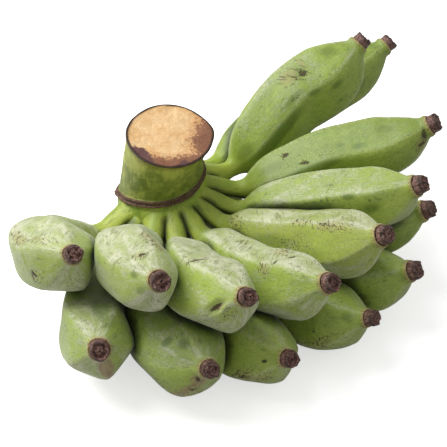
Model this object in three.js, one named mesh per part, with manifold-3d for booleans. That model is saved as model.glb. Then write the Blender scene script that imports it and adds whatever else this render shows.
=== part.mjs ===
// A hand of fifteen green cooking bananas on a cut length of their stalk.
// Millimetres, +Z up. The hand lies on the plane z = 0, as picked: the lower row rests on its
// bellies, the upper row rides above it, and the stalk stands behind them on its lower cut.
// The origin is under the middle of the hand's bounding box.

import * as THREE from "three";
import { mergeVertices } from "three/addons/utils/BufferGeometryUtils.js";
import Module from "manifold-3d";

const wasm = await Module();
wasm.setup();

// ---- Driving dimensions ----

const HEART = new THREE.Vector3(-53, 23.5, 0); // what the flower ends spread round

// Stalk: a leaning round stem, cut across square to itself at the top and level at the foot.
const STALK_FOOT = new THREE.Vector3(-58.5, 23.5, 0);
const STALK_TOP = new THREE.Vector3(-40, 10.5, 97);
const STALK_HEIGHT = STALK_TOP.z;
const STALK_RADIUS = 27;
const SCAR_HEIGHT = 56; // the bract scar, a raised ring just above the finger stems
const SCAR_LIP = 2;
const SCAR_TILT = 13; // how far the ring climbs towards the fingers and droops on the bare side
const SCAR_HIGH_SIDE = -18; // compass angle of its highest point
const SCAR_WAVE = 2.8; // how far the ring is bent off a flat loop
const CUT_OVAL = 1.7; // how far the top is off round
const CUT_LONG_SIDE = 60; // compass angle of its longest radius
// Where the stalk is narrowed: compass angle, half width, height, half height, depth.
const WAIST = [8, 45, 76, 11, 5.5];
const CROWN_SWELL = 4; // how far the crown stands out under the scar, on the fingers' side
const CROWN_SIDE = -45; // compass angle of its middle

// Fingers: the stem leaves the crown, swells into the belly and narrows to the flower end.
const ROOT_RADIUS = 9.5;
const STEM_RADIUS = 5.8;
const STEM_LENGTH = 34;
const STEM_DROOP = 0.4; // fall of the stem from the crown, before the finger turns up
const TIP_RADIUS = 7;
const HOOK = 5; // how far the shoulder hangs below the line to the flower end
const FACES = 5; // flat sides round a finger, with a blunt ridge between each two
const RIDGE_SHARPNESS = 8;
const STEM_SHARPNESS = 2.6;

// From the end of the stem to the flower end, as shares: how far the belly has swelled from the
// stem, and how far it has narrowed to the tip.
const BODY_PROFILE = [
  [0, 0, 0],
  [0.04, 0.1, 0],
  [0.1, 0.45, 0],
  [0.18, 0.74, 0],
  [0.32, 0.9, 0],
  [0.5, 0.98, 0],
  [0.65, 1, 0],
  [0.76, 1, 0.05],
  [0.85, 1, 0.25],
  [0.92, 1, 0.6],
  [0.96, 1, 0.86],
  [1, 1, 1],
];

// Flower end: the dry, woody stub left by the flower.
const STUB_RADIUS = 6;
const STUB_LENGTH = 6.5;

// Clearances.
const GAP = 1; // between fingers that press against each other
const JOIN_GAP = 0.35; // between a finger and the crown or its flower end

// Where each row's stems start inside the crown: distance below the scar and from the stalk's middle.
const ROOT_BELOW_SCAR = { upper: 14, lower: 20 };
const ROOT_REACH = 22;

// One entry per finger. Angles are compass degrees, anticlockwise from +X.
//   root   where the stem leaves the crown, round the stalk
//   tip    [angle, reach, height] of the flower end, round the heart
//   bow    [sideways, down]: how far the belly stands off the straight line, anticlockwise and down
//   neck   share of the length at which the stem gives way to the belly
//   girth  thickness of the belly from one flat side to the other
//   roll   turn of the ridges about the finger
//   hook   this finger's own HOOK
//   stub   size of this finger's flower end, as a share of the usual one
const HAND = {
  upper: [
    { root: -134, tip: [-107, 132, 94], bow: [-31, 5], neck: 0.15, girth: 42.5, roll: -36, stub: 0.88 },
    { root: -83, tip: [-85.5, 153, 98], bow: [-22, -7], neck: 0.155, girth: 41, roll: 30, stub: 0.95 },
    { root: -65, tip: [-69, 167, 89], bow: [-14, 5], neck: 0.18, girth: 40, roll: 78, stub: 0.86 },
    { root: -50, tip: [-52, 174, 82], bow: [-6, 11], neck: 0.16, girth: 37, roll: 7, hook: 4, stub: 0.93 },
    { root: -37, tip: [-35, 173, 85], bow: [6, 12], neck: 0.18, girth: 39, roll: 5, hook: 4 },
    { root: -19, tip: [-19, 177, 90], bow: [6, 8], neck: 0.2, girth: 38, roll: 29 },
    { root: 1, tip: [1, 184, 93], bow: [8, 4.5], neck: 0.185, girth: 38, roll: 31, hook: 6 },
    { root: 22, tip: [29.3, 164, 109], bow: [10, 3], neck: 0.21, girth: 45, roll: 32 },
  ],
  lower: [
    { root: -114, tip: [-98, 164, 54], bow: [-14, 14], neck: 0.24, girth: 42, roll: -50 },
    { root: -86, tip: [-77, 173, 45], bow: [-15.5, 12.5], neck: 0.26, girth: 47, roll: 56, stub: 0.85 },
    { root: -66, tip: [-61, 175, 37], bow: [-6, 17], neck: 0.27, girth: 43, roll: 20, hook: 5, stub: 0.86 },
    { root: -47, tip: [-41, 180, 35], bow: [-2, 18], neck: 0.27, girth: 42, roll: 10, hook: 6, stub: 0.83 },
    { root: -28, tip: [-27, 186, 43], bow: [2, 19], neck: 0.27, girth: 41, roll: 30, hook: 8 },
    { root: -8, tip: [-13, 183, 57], bow: [5, 16], neck: 0.27, girth: 38, roll: 50, hook: 5 },
    { root: 44, tip: [36, 208, 82], bow: [10, 6], neck: 0.16, girth: 40, roll: 20 },
  ],
};

// Mesh fineness.
const RINGS = 20;
const AROUND = 15;
const STUB_AROUND = 10;
const STALK_AROUND = 36;

// ---- Small helpers ----

const UP = new THREE.Vector3(0, 0, 1);
const rad = THREE.MathUtils.degToRad;
const mix = THREE.MathUtils.lerp;
const smooth = THREE.MathUtils.smoothstep;
const clamp = THREE.MathUtils.clamp;

function compass(angle, reach, height) {
  return new THREE.Vector3(Math.cos(rad(angle)) * reach, Math.sin(rad(angle)) * reach, height);
}

// A closed skin over rings of points, with a fan over each end.
function skin(rings) {
  const around = rings[0].length;
  const points = rings.flat();
  const faces = [];
  for (let i = 0; i + 1 < rings.length; i++) {
    for (let j = 0; j < around; j++) {
      const a = i * around + j;
      const b = i * around + ((j + 1) % around);
      faces.push(a, b, b + around, a, b + around, a + around);
    }
  }
  const fan = (ring, first, outward) => {
    const centre = ring.reduce((sum, p) => sum.add(p), new THREE.Vector3()).divideScalar(around);
    points.push(centre);
    for (let j = 0; j < around; j++) {
      const edge = [first + j, first + ((j + 1) % around)];
      faces.push(points.length - 1, ...(outward ? edge : edge.reverse()));
    }
  };
  fan(rings[0], 0, false);
  fan(rings.at(-1), (rings.length - 1) * around, true);
  return new THREE.BufferGeometry().setFromPoints(points).setIndex(faces);
}

function solidOf(geometry) {
  const merged = mergeVertices(geometry, 1e-4);
  return new wasm.Manifold(
    new wasm.Mesh({
      numProp: 3,
      vertProperties: merged.attributes.position.array,
      triVerts: new Uint32Array(merged.index.array),
    }),
  );
}

function geometryOf(solid) {
  const { vertProperties, triVerts } = solid.getMesh();
  return new THREE.BufferGeometry()
    .setAttribute("position", new THREE.BufferAttribute(vertProperties, 3))
    .setIndex(new THREE.BufferAttribute(triVerts, 1));
}

// ---- The stalk's lean ----

const STALK_AXIS = STALK_TOP.clone().sub(STALK_FOOT);
const STALK_LEAN = new THREE.Quaternion().setFromUnitVectors(UP, STALK_AXIS.clone().normalize());

// A point round the stalk at a share of its height: each slice leans more than the one below it.
function roundStalk(share, angle, reach, climb) {
  const turn = new THREE.Quaternion().slerp(STALK_LEAN, share);
  const middle = STALK_FOOT.clone().addScaledVector(STALK_AXIS, share);
  return compass(angle, reach, climb).applyQuaternion(turn).add(middle);
}

function scarClimb(angle) {
  return SCAR_TILT * Math.cos(rad(angle - SCAR_HIGH_SIDE)) + SCAR_WAVE * Math.sin(rad(2 * angle));
}

// ---- The shape of one finger ----

// How far the belly has swelled and narrowed at a share of the way from the stem to the tip.
const BODY_CURVE = new THREE.CatmullRomCurve3(
  BODY_PROFILE.map((knot) => new THREE.Vector3(...knot)),
  false,
  "centripetal",
).getPoints(120);

function bodyAt(share) {
  const next = BODY_CURVE.findIndex((point) => point.x >= share);
  if (next <= 0) return BODY_CURVE.at(next);
  const before = BODY_CURVE[next - 1];
  const after = BODY_CURVE[next];
  return before.clone().lerp(after, (share - before.x) / (after.x - before.x));
}

class Finger {
  constructor(name, row, { root, tip, bow, neck, girth, roll, hook = HOOK, stub = 1 }) {
    Object.assign(this, { name, neck, girth, roll, stub });
    const climb = (scarClimb(root) * ROOT_REACH) / STALK_RADIUS - ROOT_BELOW_SCAR[row];
    const start = roundStalk(SCAR_HEIGHT / STALK_HEIGHT, root, ROOT_REACH, climb);
    const end = compass(...tip).add(HEART);
    const along = end.clone().sub(start).normalize();
    const leave = compass(root, 1, -STEM_DROOP).add(along.clone().setZ(0)).normalize();
    const side = UP.clone().cross(along).normalize();
    const bend = start.clone().addScaledVector(leave, STEM_LENGTH).addScaledVector(side, bow[0] / 2);
    const belly = bend.clone().lerp(end, 0.5).addScaledVector(side, bow[0] * 0.7);
    belly.z -= bow[1];
    const shoulder = belly.clone().lerp(end, 0.6);
    shoulder.z -= hook;
    const knots = [start, bend, belly, shoulder, end];
    this.midline = new THREE.CatmullRomCurve3(knots, false, "centripetal");
    this.midline.arcLengthDivisions = 400;
    this.length = this.midline.getLength();
    this.stations = Array.from({ length: 61 }, (_, i) => this.frame(i / 60));
  }

  // Place, heading, and the two directions across the finger, at a share of its length.
  frame(share) {
    const place = this.midline.getPointAt(share);
    const heading = this.midline.getTangentAt(share);
    const across = UP.clone().cross(heading).normalize();
    const above = heading.clone().cross(across);
    return { share, place, heading, across, above };
  }

  // Distance from the midline to the free skin, at a share of the length and an angle round it.
  free(share, angle) {
    const { y: swell, z: narrow } = bodyAt(Math.max(0, (share - this.neck) / (1 - this.neck)));
    const stem = mix(ROOT_RADIUS, STEM_RADIUS, smooth(share, 0.06, 0.24));
    const half = mix(mix(stem, this.girth / 2, swell), TIP_RADIUS * this.stub, narrow);
    const sharp = mix(STEM_SHARPNESS, RIDGE_SHARPNESS, swell * (1 - narrow));
    let sum = 0;
    for (let k = 0; k < FACES; k++) {
      const facing = Math.cos(angle - rad(this.roll) - (k * 2 * Math.PI) / FACES);
      sum += Math.max(0, facing) ** sharp;
    }
    return half / sum ** (1 / sharp);
  }

  // How far a point stands outside the free skin; negative inside it.
  outside(point) {
    let station = this.stations[0];
    let least = Infinity;
    for (const candidate of this.stations) {
      const distance = candidate.place.distanceToSquared(point);
      if (distance < least) [least, station] = [distance, candidate];
    }
    // Slide from the nearest station along its heading to come level with the point.
    const halfStep = this.length / (this.stations.length - 1) / 2;
    const off = point.clone().sub(station.place);
    const ahead = off.dot(station.heading);
    const slide = clamp(ahead, -halfStep, halfStep);
    const share = clamp(station.share + slide / this.length, 0, 1);
    off.addScaledVector(station.heading, -ahead);
    const angle = Math.atan2(off.dot(station.above), off.dot(station.across));
    const beside = off.length() - this.free(share, angle);
    const pastEnd = Math.abs(ahead - slide);
    return pastEnd > halfStep ? Math.max(beside, pastEnd) : beside;
  }

  // A point of the skin, pressed flat where a neighbour or the surface below is in the way.
  pressed({ share, place, across, above }, angle, neighbours) {
    const out = across.clone().multiplyScalar(Math.cos(angle)).addScaledVector(above, Math.sin(angle));
    const reach = this.free(share, angle);
    const clear = (r) => {
      const point = place.clone().addScaledVector(out, r);
      return point.z >= 0 && neighbours.every((n) => n.outside(point) - GAP >= r - reach);
    };
    let [low, high] = [0.5, reach];
    if (clear(reach)) return place.clone().addScaledVector(out, reach);
    for (let i = 0; i < 14; i++) {
      const middle = (low + high) / 2;
      if (clear(middle)) low = middle;
      else high = middle;
    }
    return place.clone().addScaledVector(out, low);
  }

  geometry(others) {
    const rings = [];
    for (let i = 0; i <= RINGS; i++) {
      const station = this.frame(i / RINGS);
      rings.push(
        Array.from({ length: AROUND }, (_, j) => {
          const angle = rad(this.roll) + ((j + 0.5) * 2 * Math.PI) / AROUND;
          return this.pressed(station, angle, others);
        }),
      );
    }
    return skin(rings);
  }

  stubGeometry() {
    const { place, heading, across, above } = this.frame(1);
    const profile = [
      [JOIN_GAP, 0.96],
      [0.25 * STUB_LENGTH, 1.04],
      [0.8 * STUB_LENGTH, 0.97],
      [STUB_LENGTH, 0.78],
    ];
    return skin(
      profile.map(([out, scale]) =>
        Array.from({ length: STUB_AROUND }, (_, j) => {
          const angle = (j * 2 * Math.PI) / STUB_AROUND;
          return place
            .clone()
            .addScaledVector(heading, out)
            .addScaledVector(across, Math.cos(angle) * STUB_RADIUS * this.stub * scale)
            .addScaledVector(above, Math.sin(angle) * STUB_RADIUS * this.stub * scale);
        }),
      ),
    );
  }
}

// ---- The stalk ----

// [height, radius, share of the crown's swelling, share of the scar's tilt].
const STALK_RINGS = [
  [0, STALK_RADIUS - 5, 0, 0],
  [10, STALK_RADIUS - 2, 0.5, 0.1],
  [28, STALK_RADIUS - 1, 1, 0.6],
  [45, STALK_RADIUS + 0.3, 0.9, 0.9],
  [SCAR_HEIGHT - 2.5, STALK_RADIUS + 0.8, 0.1, 1],
  [SCAR_HEIGHT - 1.5, STALK_RADIUS + SCAR_LIP, 0, 1],
  [SCAR_HEIGHT + 1.5, STALK_RADIUS + SCAR_LIP, 0, 1],
  [SCAR_HEIGHT + 3, STALK_RADIUS + 0.6, 0, 1],
  [67, STALK_RADIUS + 0.5, 0, 0.75],
  [76, STALK_RADIUS + 0.6, 0, 0.5],
  [86, STALK_RADIUS + 0.8, 0, 0.2],
  [STALK_HEIGHT, STALK_RADIUS + 1.6, 0, 0],
];

function waist(angle, height) {
  const [side, width, middle, half, depth] = WAIST;
  const turn = THREE.MathUtils.euclideanModulo(angle - side + 180, 360) - 180;
  return depth * Math.exp(-((turn / width) ** 2) - ((height - middle) / half) ** 2);
}

function stalkGeometry(grow) {
  return skin(
    STALK_RINGS.map(([height, radius, crown, tilt]) =>
      Array.from({ length: STALK_AROUND }, (_, j) => {
        const angle = (j * 360) / STALK_AROUND;
        const swell = crown * CROWN_SWELL * smooth(Math.cos(rad(angle - CROWN_SIDE)), -0.1, 0.6);
        const long = Math.cos(rad(2 * (angle - CUT_LONG_SIDE)));
        const oval = CUT_OVAL * long * smooth(height, SCAR_HEIGHT + 4, STALK_HEIGHT);
        const reach = radius + swell + oval - waist(angle, height) + grow;
        return roundStalk(height / STALK_HEIGHT, angle, reach, tilt * scarClimb(angle));
      }),
    ),
  );
}

// ---- Assembly ----

const hand = new THREE.Group();

function add(name, geometry, color, roughness) {
  const mesh = new THREE.Mesh(geometry, new THREE.MeshStandardMaterial({ color, roughness, metalness: 0 }));
  mesh.name = name;
  hand.add(mesh);
}

const fingers = Object.entries(HAND).flatMap(([row, list]) =>
  list.map((shape, i) => new Finger(`${row}_${i + 1}`, row, shape)),
);
const stalkRoom = solidOf(stalkGeometry(JOIN_GAP));

add("stalk", stalkGeometry(0), "#8fa544", 0.55);
for (const finger of fingers) {
  const others = fingers.filter((other) => other !== finger);
  const cut = solidOf(finger.geometry(others)).subtract(stalkRoom);
  add(`finger_${finger.name}`, geometryOf(cut), "#9cb96c", 0.6);
  add(`flower_end_${finger.name}`, finger.stubGeometry(), "#4a2f2a", 0.9);
}

export default hand;
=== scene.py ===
import itertools
import math

import bpy
import numpy as np
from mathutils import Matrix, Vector


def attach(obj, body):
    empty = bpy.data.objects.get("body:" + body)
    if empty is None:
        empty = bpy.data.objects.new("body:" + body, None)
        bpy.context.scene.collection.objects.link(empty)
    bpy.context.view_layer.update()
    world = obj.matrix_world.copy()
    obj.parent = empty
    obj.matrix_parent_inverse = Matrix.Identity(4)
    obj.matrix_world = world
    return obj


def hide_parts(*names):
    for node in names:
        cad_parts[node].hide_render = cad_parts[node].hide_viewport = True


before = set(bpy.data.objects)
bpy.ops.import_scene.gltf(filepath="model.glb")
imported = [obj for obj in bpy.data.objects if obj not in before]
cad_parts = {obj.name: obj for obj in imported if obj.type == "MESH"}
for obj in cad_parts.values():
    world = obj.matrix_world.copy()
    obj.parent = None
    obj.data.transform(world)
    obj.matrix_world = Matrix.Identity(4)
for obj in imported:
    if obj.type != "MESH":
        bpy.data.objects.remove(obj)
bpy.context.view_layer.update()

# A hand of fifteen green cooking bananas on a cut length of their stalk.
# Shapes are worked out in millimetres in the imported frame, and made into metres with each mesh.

MM = 0.001
UP = np.array([0.0, 0.0, 1.0])

# ---- Driving dimensions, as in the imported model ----

HEART = np.array([-53.0, 23.5, 0.0])  # what the flower ends spread round
STALK_FOOT = np.array([-58.5, 23.5, 0.0])
STALK_TOP = np.array([-40.0, 10.5, 97.0])
STALK_HEIGHT = STALK_TOP[2]
STALK_RADIUS = 27.0
SCAR_HEIGHT = 56.0  # the bract scar, a raised ring just above the finger stems
SCAR_TILT = 13.0  # how far the ring climbs towards the fingers and droops on the bare side
SCAR_HIGH_SIDE = -18.0  # compass angle of its highest point
SCAR_WAVE = 2.8  # how far the ring is bent off a flat loop
CUT_OVAL = 1.7  # how far the top is off round
CUT_LONG_SIDE = 60.0  # compass angle of its longest radius
# Where the stalk is narrowed: compass angle, half width, height, half height, depth.
WAIST = (8.0, 45.0, 76.0, 11.0, 5.5)
CROWN_SWELL = 4.0  # how far the crown stands out under the scar, on the fingers' side
CROWN_SIDE = -45.0  # compass angle of its middle

# Where each row's stems start inside the crown: distance from the stalk's middle and below the scar.
ROOT_REACH = 22.0
ROOT_BELOW_SCAR = {"upper": 14.0, "lower": 20.0}
ROOT_RADIUS = 9.5
STEM_RADIUS = 5.8
STEM_LENGTH = 34.0
STEM_DROOP = 0.4  # fall of the stem from the crown, before the finger turns up
STEM_NARROWS = (0.06, 0.24)  # shares of the length between which the root gives way to the stem
TIP_RADIUS = 7.0
HOOK = 5.0  # how far the shoulder hangs below the line to the flower end
FACES = 5  # flat sides round a finger, with a blunt ridge between each two
STEM_SHARPNESS = 2.6  # how crisp the ridges of the stem and the tip are
TIP_ROUNDNESS = 0.8  # how far the flat sides are lost towards the tip
STUB_RADIUS = 6.0

# Clearance between fingers that press against each other, on the belly and at the crown.
GAP = 0.8
ROOT_GAP = 0.1
TOUCH_REACH = {"upper": 4.5, "lower": 10.0}  # how far from a neighbour the skin is painted dark as crease shade, and its wax rubbed off

# One entry per finger. Its shape is as in the imported model, with angles in compass degrees:
#   root   where the stem leaves the crown, round the stalk
#   tip    angle, reach and height of the flower end, round the heart
#   bow    how far the belly stands off the straight line, anticlockwise and down
#   neck   share of the length at which the stem gives way to the belly
#   girth  thickness of the belly from one flat side to the other
#   roll   turn of the ridges about the finger
#   hook   this finger's own HOOK
#   stub   size of this finger's flower end, as a share of the usual one
# Its finish is added here:
#   edge   how crisp the ridges between its flat sides are
#   bloom  how much pale wax it keeps
#   sides  the share of its wax that is left low on its flanks, where not BARE_SIDES
#   deep   how dark a green the peel is under the wax
#   ripe   how far it has turned yellow
BARE_SIDES = 0.3
HAND = {
    "upper": [
        dict(root=-134, tip=(-107, 132, 94), bow=(-31, 5), neck=0.15, girth=42.5, roll=-36,
             edge=8, bloom=0.55, sides=0.7, deep=0.15, ripe=0.15, stub=0.88),
        dict(root=-83, tip=(-85.5, 153, 98), bow=(-22, -7), neck=0.155, girth=41, roll=30,
             edge=5.5, bloom=0.66, deep=0.15, ripe=0.15, stub=0.95, sides=0.6),
        dict(root=-65, tip=(-69, 167, 89), bow=(-14, 5), neck=0.18, girth=40, roll=78,
             edge=9, bloom=0.64, deep=0.25, ripe=0.15, sides=0.4, stub=0.86),
        dict(root=-50, tip=(-52, 174, 82), bow=(-6, 11), neck=0.16, girth=37, roll=7,
             edge=9, bloom=0.58, deep=0.30, ripe=0.15, hook=4, stub=0.93, sides=0.4),
        dict(root=-37, tip=(-35, 173, 85), bow=(6, 12), neck=0.18, girth=39, roll=5,
             edge=12, bloom=0.52, deep=0.5, ripe=0.60, hook=4),
        dict(root=-19, tip=(-19, 177, 90), bow=(6, 8), neck=0.2, girth=38, roll=29,
             edge=13, bloom=0.32, deep=0.45, ripe=0.20, sides=0.2),
        dict(root=1, tip=(1, 184, 93), bow=(8, 4.5), neck=0.185, girth=38, roll=31,
             edge=9, bloom=0.08, deep=0.8, ripe=0.30, hook=6),
        dict(root=22, tip=(29.3, 164, 109), bow=(10, 3), neck=0.21, girth=45, roll=32,
             edge=8, bloom=0.20, deep=0.5, ripe=0.20),
    ],
    "lower": [
        dict(root=-114, tip=(-98, 164, 54), bow=(-14, 14), neck=0.24, girth=42, roll=-50,
             edge=9, bloom=0.55, sides=0.6, deep=0.35, ripe=0.10),
        dict(root=-86, tip=(-77, 173, 45), bow=(-15.5, 12.5), neck=0.26, girth=47, roll=56,
             edge=4.5, bloom=0.4, deep=0.5, ripe=0.15, stub=0.85),
        dict(root=-66, tip=(-61, 175, 37), bow=(-6, 17), neck=0.27, girth=43, roll=20,
             edge=6, bloom=0.3, deep=0.3, ripe=0.15, hook=5, stub=0.86),
        dict(root=-47, tip=(-41, 180, 35), bow=(-2, 18), neck=0.27, girth=42, roll=10,
             edge=6.5, bloom=0.20, deep=0.3, ripe=0.10, hook=6, stub=0.83),
        dict(root=-28, tip=(-27, 186, 43), bow=(2, 19), neck=0.27, girth=41, roll=30,
             edge=7, bloom=0.20, deep=0.35, ripe=0.05, hook=8),
        dict(root=-8, tip=(-13, 183, 57), bow=(5, 16), neck=0.27, girth=38, roll=50,
             edge=7, bloom=0.25, deep=0.50, ripe=0.10, hook=5),
        dict(root=44, tip=(36, 208, 82), bow=(10, 6), neck=0.16, girth=40, roll=20,
             edge=7.5, bloom=0.10, deep=0.60, ripe=0.15),
    ],
}

# ---- Small helpers ----


def mix(a, b, t):
    return a + (b - a) * t


def smooth(x, low, high):
    t = np.clip((x - low) / (high - low), 0, 1)
    return t * t * (3 - 2 * t)


def unit(v):
    return v / np.linalg.norm(v, axis=-1, keepdims=True)


def dot(a, b):
    return np.sum(a * b, axis=-1)


def compass(angle, reach, height):
    """The place at a compass angle in degrees, a reach from the middle and a height."""
    turn = np.radians(angle)
    return np.stack(np.broadcast_arrays(reach * np.cos(turn), reach * np.sin(turn), height), axis=-1)


def wrapped(angle):
    """An angle in radians brought between -pi and pi."""
    return (angle + math.pi) % (2 * math.pi) - math.pi


def hump(x, middle, width):
    """1 at the middle, falling to nothing over about two widths each way."""
    return np.exp(-(((x - middle) / width) ** 2))


def away(angle, middle, width):
    """A hump round the compass, at an angle in degrees."""
    return np.exp(-(((angle - middle + 180) % 360 - 180) / width) ** 2)


def catmull_rom(knots, steps=100):
    """Points along a centripetal Catmull-Rom curve through the knots."""
    knots = [np.asarray(k, float) for k in knots]
    padded = [2 * knots[0] - knots[1], *knots, 2 * knots[-1] - knots[-2]]
    u = np.linspace(0, 1, steps, endpoint=False)[:, None]
    spans = []
    for before, start, end, after in zip(padded, padded[1:], padded[2:], padded[3:]):
        legs = ((before, start), (start, end), (end, after))
        come, gap, go = (math.sqrt(np.linalg.norm(b - a)) for a, b in legs)
        leave = (start - before) / come - (end - before) / (come + gap) + (end - start) / gap
        arrive = (end - start) / gap - (after - start) / (gap + go) + (after - end) / go
        leave, arrive = leave * gap, arrive * gap
        square = 3 * (end - start) - 2 * leave - arrive
        cube = 2 * (start - end) + leave + arrive
        spans.append(start + leave * u + square * u**2 + cube * u**3)
    return np.vstack([*spans, knots[-1][None]])


def rough(points, seed):
    """Smooth noise from -1 to 1, with about one hump for each unit of length."""
    cell = np.floor(points).astype(np.int64)
    part = points - cell
    fade = part * part * (3 - 2 * part)
    total = np.zeros(points.shape[:-1])
    for corner in itertools.product((0, 1), repeat=3):
        x, y, z = np.moveaxis(cell + corner, -1, 0)
        mixed = (x * 73856093) ^ (y * 19349663) ^ (z * 83492791) ^ (seed * 26544357)
        mixed = ((mixed ^ (mixed >> 13)) * 1274126177) & 0x7FFFFFFF
        value = ((mixed ^ (mixed >> 15)) & 0xFFFF) / 32767.5 - 1
        weight = np.prod(np.where(corner, fade, 1 - fade), axis=-1)
        total += value * weight
    return total


def uneven(points, layers, seed=0):
    """Layers of noise added up: the height, length and seed of each."""
    return sum(height * rough(points / length, seed + step) for height, length, step in layers)


# ---- The stalk's shape ----

# Height along the stalk, radius, share of the crown's swelling, share of the scar's tilt.
STALK_PROFILE = catmull_rom([
    (0, 22, 0, 0),
    (10, 25, 0.5, 0.1),
    (28, 26, 1, 0.6),
    (45, 27.3, 0.9, 0.9),
    (54, 27.8, 0.1, 1),
    (59, 27.6, 0, 1),
    (72, 27.5, 0, 0.6),
    (86, 27.8, 0, 0.2),
    (97, 28.4, 0, 0),
])
STALK_AXIS = STALK_TOP - STALK_FOOT
STALK_LEAN = math.acos(unit(STALK_AXIS)[2])
STALK_HINGE = unit(np.cross(UP, STALK_AXIS))


def leaning(points, share):
    """Points turned about the stalk's hinge by a share of its lean."""
    turn = np.asarray(STALK_LEAN * share)[..., None]
    along = dot(points, STALK_HINGE)[..., None] * STALK_HINGE
    over = np.cross(STALK_HINGE, points)
    return points * np.cos(turn) + over * np.sin(turn) + along * (1 - np.cos(turn))


def stalk_radius(height, angle):
    """The smooth stalk's radius at a height along it, in millimetres, and a compass angle."""
    radius, crown = (np.interp(height, STALK_PROFILE[:, 0], STALK_PROFILE[:, i]) for i in (1, 2))
    swell = crown * CROWN_SWELL * smooth(np.cos(np.radians(angle - CROWN_SIDE)), -0.1, 0.6)
    above_scar = smooth(height, SCAR_HEIGHT + 4, STALK_HEIGHT)
    oval = CUT_OVAL * np.cos(np.radians(2 * (angle - CUT_LONG_SIDE))) * above_scar
    side, width, middle, reach, depth = WAIST
    return radius + swell + oval - depth * away(angle, side, width) * hump(height, middle, reach)


def scar_climb(angle):
    """How far the ring of the scar stands above or below its height, at a compass angle."""
    turn = np.radians(angle)
    return SCAR_TILT * np.cos(turn - math.radians(SCAR_HIGH_SIDE)) + SCAR_WAVE * np.sin(2 * turn)


def crown_place(angle, reach, below):
    """A point inside the crown, some way below the scar."""
    share = SCAR_HEIGHT / STALK_HEIGHT
    climb = scar_climb(angle) * reach / STALK_RADIUS
    return leaning(compass(angle, reach, climb - below), share) + STALK_FOOT + share * STALK_AXIS


def outside_stalk(points):
    """How far points stand outside the smooth stalk."""
    share = dot(points - STALK_FOOT, STALK_AXIS) / dot(STALK_AXIS, STALK_AXIS)
    local = leaning(points - STALK_FOOT - share[..., None] * STALK_AXIS, -np.clip(share, 0, 1))
    angle = np.degrees(np.arctan2(local[..., 1], local[..., 0]))
    return np.linalg.norm(local[..., :2], axis=-1) - stalk_radius(share * STALK_HEIGHT, angle)


# ---- The shape of one finger ----

STATIONS = 61  # places along the midline from which distances are measured
COARSE_RINGS = 70
COARSE_AROUND = 44
FLAT_WANDER = math.radians(6)  # how far a flat side strays from its fifth of the turn
FLAT_UNEVEN = 0.045  # how much the flat sides differ in their distance from the middle
FLAT_PULL = 70  # how surely a place takes the facing of its own flat side
BULGE_SHARE = 0.7  # share of the sideways bow that is left half way to the tip
SHOULDER_SHARE = 0.6  # how far from the belly to the tip the shoulder lies
NEIGHBOUR_REACH = 0.6  # fingers are neighbours within this share of both their girths
GAP_OPENS = (0.12, 0.35)  # shares of the length between which ROOT_GAP gives way to GAP
PRESSING_STEPS = 11
THINNEST = 0.5  # the least that pressing leaves of a finger's radius
ROW_SEED = {"upper": 0, "lower": 40}
LUMP = 0.25  # swells and hollows of the belly
# Waves of a lump: turns round the finger, turns along it.
LUMP_WAVES = ((1, 1.3), (2, 2.1), (3, 3.2), (1, 4.6))

# From the end of the stem to the flower end, as shares: how far the belly has swelled from the
# stem, and how far it has narrowed to the tip.
BODY_PROFILE = catmull_rom([
    (0, 0, 0),
    (0.04, 0.10, 0),
    (0.10, 0.45, 0),
    (0.18, 0.74, 0),
    (0.32, 0.90, 0),
    (0.50, 0.98, 0),
    (0.65, 1, 0),
    (0.76, 1, 0.05),
    (0.85, 1, 0.25),
    (0.92, 1, 0.60),
    (0.96, 1, 0.86),
    (0.98, 1, 0.96),
    (1, 1, 1),
])


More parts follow.
